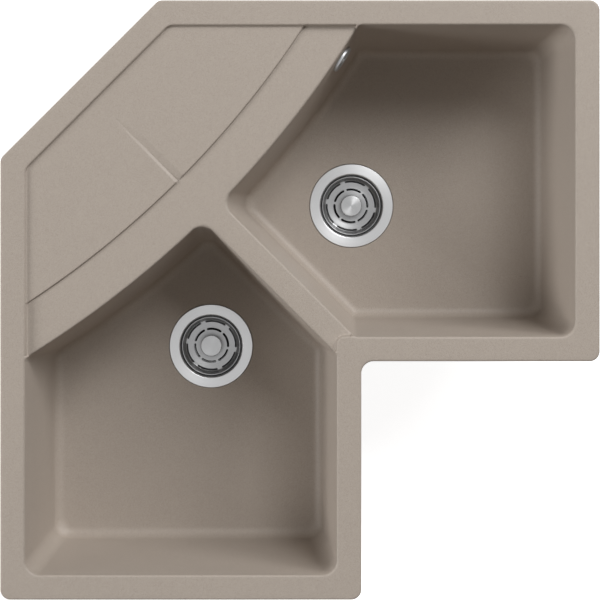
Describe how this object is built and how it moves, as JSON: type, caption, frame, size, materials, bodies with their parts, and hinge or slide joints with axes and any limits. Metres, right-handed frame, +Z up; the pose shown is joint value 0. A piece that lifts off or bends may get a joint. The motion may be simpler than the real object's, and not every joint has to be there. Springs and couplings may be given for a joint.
{
  "type": "corner kitchen sink",
  "caption": "L-shaped corner kitchen sink in speckled granite composite, with two bowls, a corner drainer, basket strainer wastes, an overflow and fixing clips.",
  "frame": {"origin": "on the rim's flat underside, which is the worktop's top surface, at the inner corner of the L where the user stands", "axes": "+Z up out of the worktop; +X towards the end of the leg with the overflow, along one room wall; +Y towards that wall; the line x = -y is the casting's mirror line, with the drainer at -X +Y"},
  "size_m": [0.83, 0.83, 0.3025],
  "materials": {
    "granite_composite": "fine matt speckle, warm grey-brown",
    "brushed_steel": "brushed in rings round the drain's axis",
    "chrome": "polished chrome plate",
    "black_rubber": "matt black rubber",
    "white_plastic": "moulded white plastic",
    "grey_hose": "ribbed pale grey plastic",
    "zinc_plated_steel": "dull zinc plate",
    "brass_insert": "turned brass"
  },
  "bodies": {
    "root": {"sink_body": "granite_composite", "right_waste_flange": "brushed_steel", "right_flange_seal": "black_rubber", "right_waste_gasket": "black_rubber", "right_waste_body": "white_plastic", "right_waste_screw": "brushed_steel", "right_outlet_nut": "white_plastic", "right_outlet_washer": "black_rubber", "left_waste_flange": "brushed_steel", "left_flange_seal": "black_rubber", "left_waste_gasket": "black_rubber", "left_waste_body": "white_plastic", "left_waste_screw": "brushed_steel", "left_outlet_nut": "white_plastic", "left_outlet_washer": "black_rubber", "overflow_rosette": "chrome", "overflow_screw": "chrome", "overflow_gasket": "black_rubber", "overflow_elbow": "white_plastic", "overflow_hose": "grey_hose", "hose_clamp_upper": "zinc_plated_steel", "hose_clamp_lower": "zinc_plated_steel", "clip_1_insert": "brass_insert", "clip_2_insert": "brass_insert", "clip_3_insert": "brass_insert", "clip_4_insert": "brass_insert", "clip_5_insert": "brass_insert", "clip_6_insert": "brass_insert"},
    "right_stopper": {"right_stopper_seal": "black_rubber"},
    "right_basket": {"right_basket": "brushed_steel", "right_basket_knob": "brushed_steel", "right_basket_stem": "white_plastic"},
    "left_stopper": {"left_stopper_seal": "black_rubber"},
    "left_basket": {"left_basket": "brushed_steel", "left_basket_knob": "brushed_steel", "left_basket_stem": "white_plastic"},
    "clip_1_screw": {"clip_1_screw": "zinc_plated_steel"},
    "clip_1_claw": {"clip_1_claw": "zinc_plated_steel"},
    "clip_2_screw": {"clip_2_screw": "zinc_plated_steel"},
    "clip_2_claw": {"clip_2_claw": "zinc_plated_steel"},
    "clip_3_screw": {"clip_3_screw": "zinc_plated_steel"},
    "clip_3_claw": {"clip_3_claw": "zinc_plated_steel"},
    "clip_4_screw": {"clip_4_screw": "zinc_plated_steel"},
    "clip_4_claw": {"clip_4_claw": "zinc_plated_steel"},
    "clip_5_screw": {"clip_5_screw": "zinc_plated_steel"},
    "clip_5_claw": {"clip_5_claw": "zinc_plated_steel"},
    "clip_6_screw": {"clip_6_screw": "zinc_plated_steel"},
    "clip_6_claw": {"clip_6_claw": "zinc_plated_steel"}
  },
  "joints": [
    {"name": "right_basket_lift", "type": "slide", "parent": "root", "child": "right_stopper", "axis": [0, 0, 1], "range_m": [0, 0.26]},
    {"name": "right_basket_turn", "type": "hinge", "parent": "right_stopper", "child": "right_basket", "pos_m": [-0.0055, 0.2168, -0.205], "axis": [0, 0, 1], "continuous": true},
    {"name": "left_basket_lift", "type": "slide", "parent": "root", "child": "left_stopper", "axis": [0, 0, 1], "range_m": [0, 0.26]},
    {"name": "left_basket_turn", "type": "hinge", "parent": "left_stopper", "child": "left_basket", "pos_m": [-0.2168, 0.0055, -0.205], "axis": [0, 0, 1], "continuous": true},
    {"name": "clip_1_tighten", "type": "slide", "parent": "root", "child": "clip_1_screw", "axis": [0, 0, 1], "range_m": [0, 0.022]},
    {"name": "clip_1_swing", "type": "hinge", "parent": "clip_1_screw", "child": "clip_1_claw", "pos_m": [0.03, 0.48, -0.072], "axis": [0, 0, 1], "range_deg": [0, 90]},
    {"name": "clip_2_tighten", "type": "slide", "parent": "root", "child": "clip_2_screw", "axis": [0, 0, 1], "range_m": [0, 0.022]},
    {"name": "clip_2_swing", "type": "hinge", "parent": "clip_2_screw", "child": "clip_2_claw", "pos_m": [-0.48, -0.03, -0.072], "axis": [0, 0, 1], "range_deg": [0, 90]},
    {"name": "clip_3_tighten", "type": "slide", "parent": "root", "child": "clip_3_screw", "axis": [0, 0, 1], "range_m": [0, 0.022]},
    {"name": "clip_3_swing", "type": "hinge", "parent": "clip_3_screw", "child": "clip_3_claw", "pos_m": [0.31, 0.235, -0.072], "axis": [0, 0, 1], "range_deg": [0, 90]},
    {"name": "clip_4_tighten", "type": "slide", "parent": "root", "child": "clip_4_screw", "axis": [0, 0, 1], "range_m": [0, 0.022]},
    {"name": "clip_4_swing", "type": "hinge", "parent": "clip_4_screw", "child": "clip_4_claw", "pos_m": [-0.235, -0.31, -0.072], "axis": [0, 0, 1], "range_deg": [0, 90]},
    {"name": "clip_5_tighten", "type": "slide", "parent": "root", "child": "clip_5_screw", "axis": [0, 0, 1], "range_m": [0, 0.022]},
    {"name": "clip_5_swing", "type": "hinge", "parent": "clip_5_screw", "child": "clip_5_claw", "pos_m": [0.19, 0.02, -0.072], "axis": [0, 0, 1], "range_deg": [0, 90]},
    {"name": "clip_6_tighten", "type": "slide", "parent": "root", "child": "clip_6_screw", "axis": [0, 0, 1], "range_m": [0, 0.022]},
    {"name": "clip_6_swing", "type": "hinge", "parent": "clip_6_screw", "child": "clip_6_claw", "pos_m": [-0.02, -0.19, -0.072], "axis": [0, 0, 1], "range_deg": [0, 90]}
  ]
}
